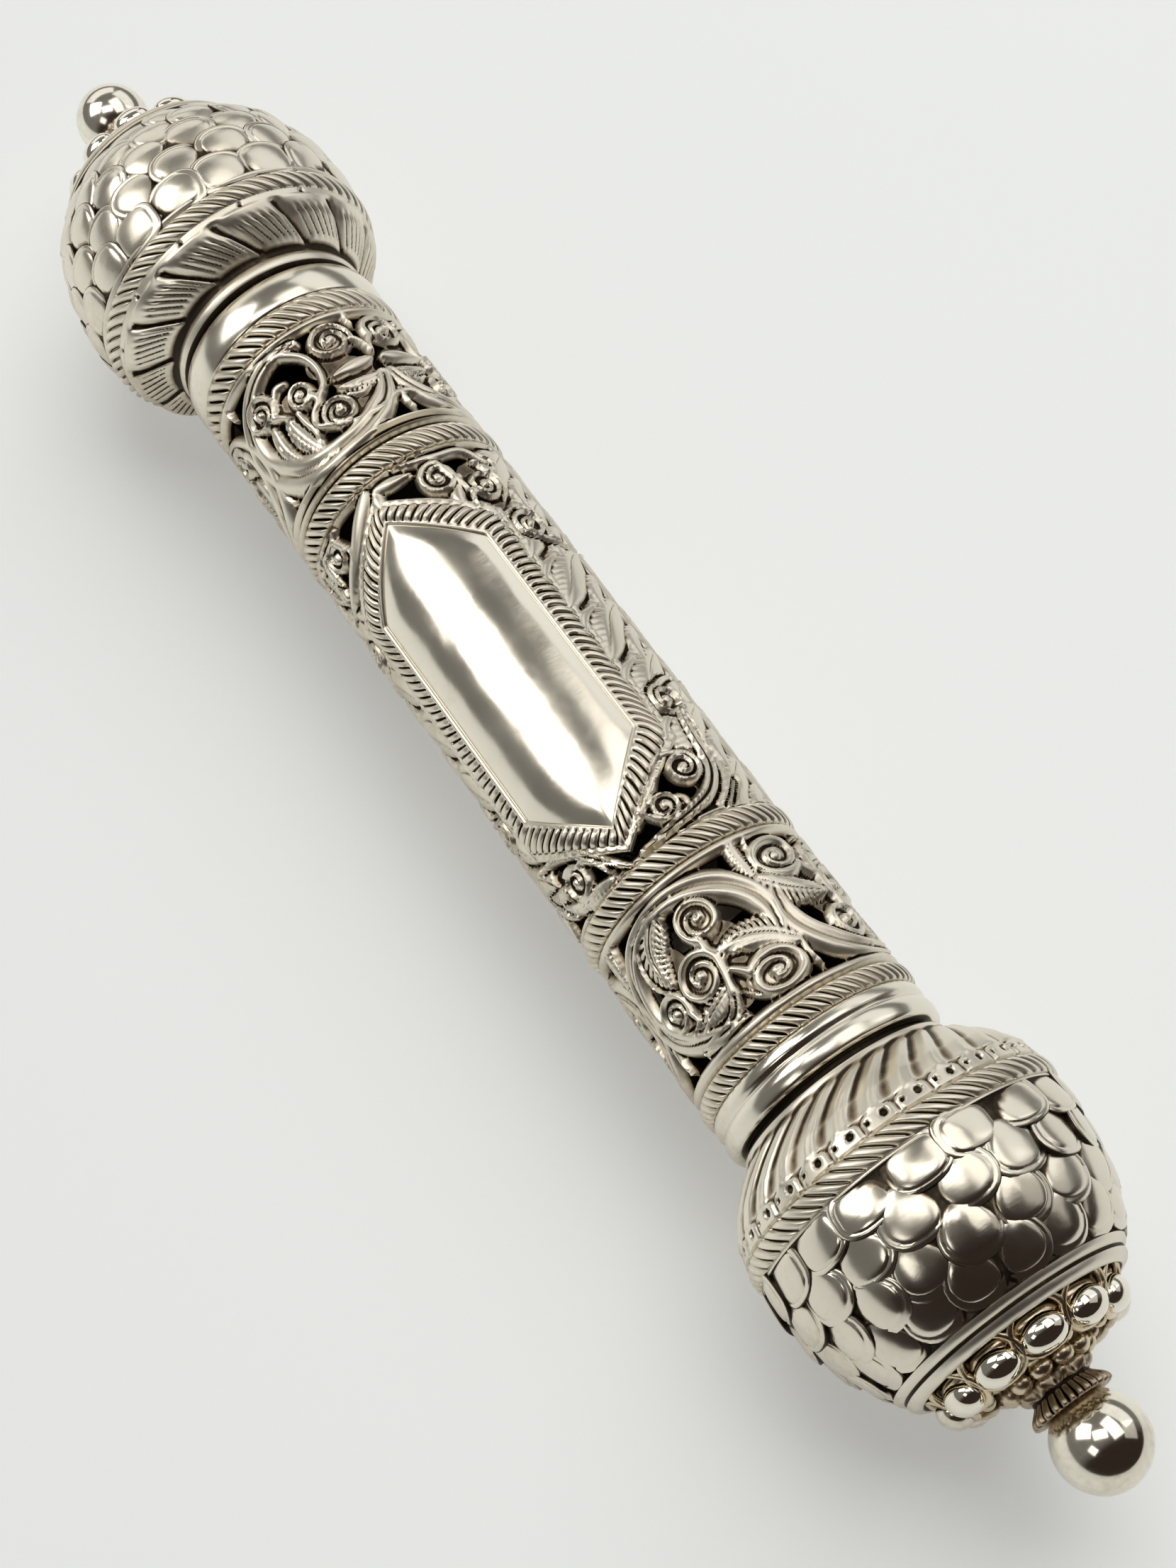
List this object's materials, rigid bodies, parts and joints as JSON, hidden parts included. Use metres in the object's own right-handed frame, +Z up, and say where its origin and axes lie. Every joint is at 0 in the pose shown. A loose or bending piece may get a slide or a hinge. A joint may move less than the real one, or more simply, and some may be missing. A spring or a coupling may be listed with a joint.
{
  "type": "megillah case",
  "caption": "Slim cylindrical silver scroll case: a pierced and chased tube closed by pomegranate knobs with scales, petal crowns and ball finials; it lies on its knobs.",
  "frame": {"origin": "on the surface that the case lies on, below the middle of its length", "axes": "+X along the case towards the knob with twisted flutes, +Z up"},
  "size_m": [0.203, 0.0362, 0.0357],
  "materials": {
    "chased_silver": "chased and pierced silver, worn bright on the high places, dark patina in the recesses",
    "knob_silver": "polished silver scales with dark patina between them",
    "gilt_silver": "worn gilding over silver, dark in the hollows",
    "wire_silver": "twisted silver wire, dull between the strands",
    "polished_silver": "mirror-polished silver with fine scratches"
  },
  "bodies": {
    "root": {"case_tube": "chased_silver", "near_knob": "knob_silver", "far_knob": "knob_silver", "near_crown": "gilt_silver", "far_crown": "gilt_silver", "near_collar": "wire_silver", "far_collar": "wire_silver", "near_ball": "polished_silver", "far_ball": "polished_silver"}
  },
  "joints": []
}
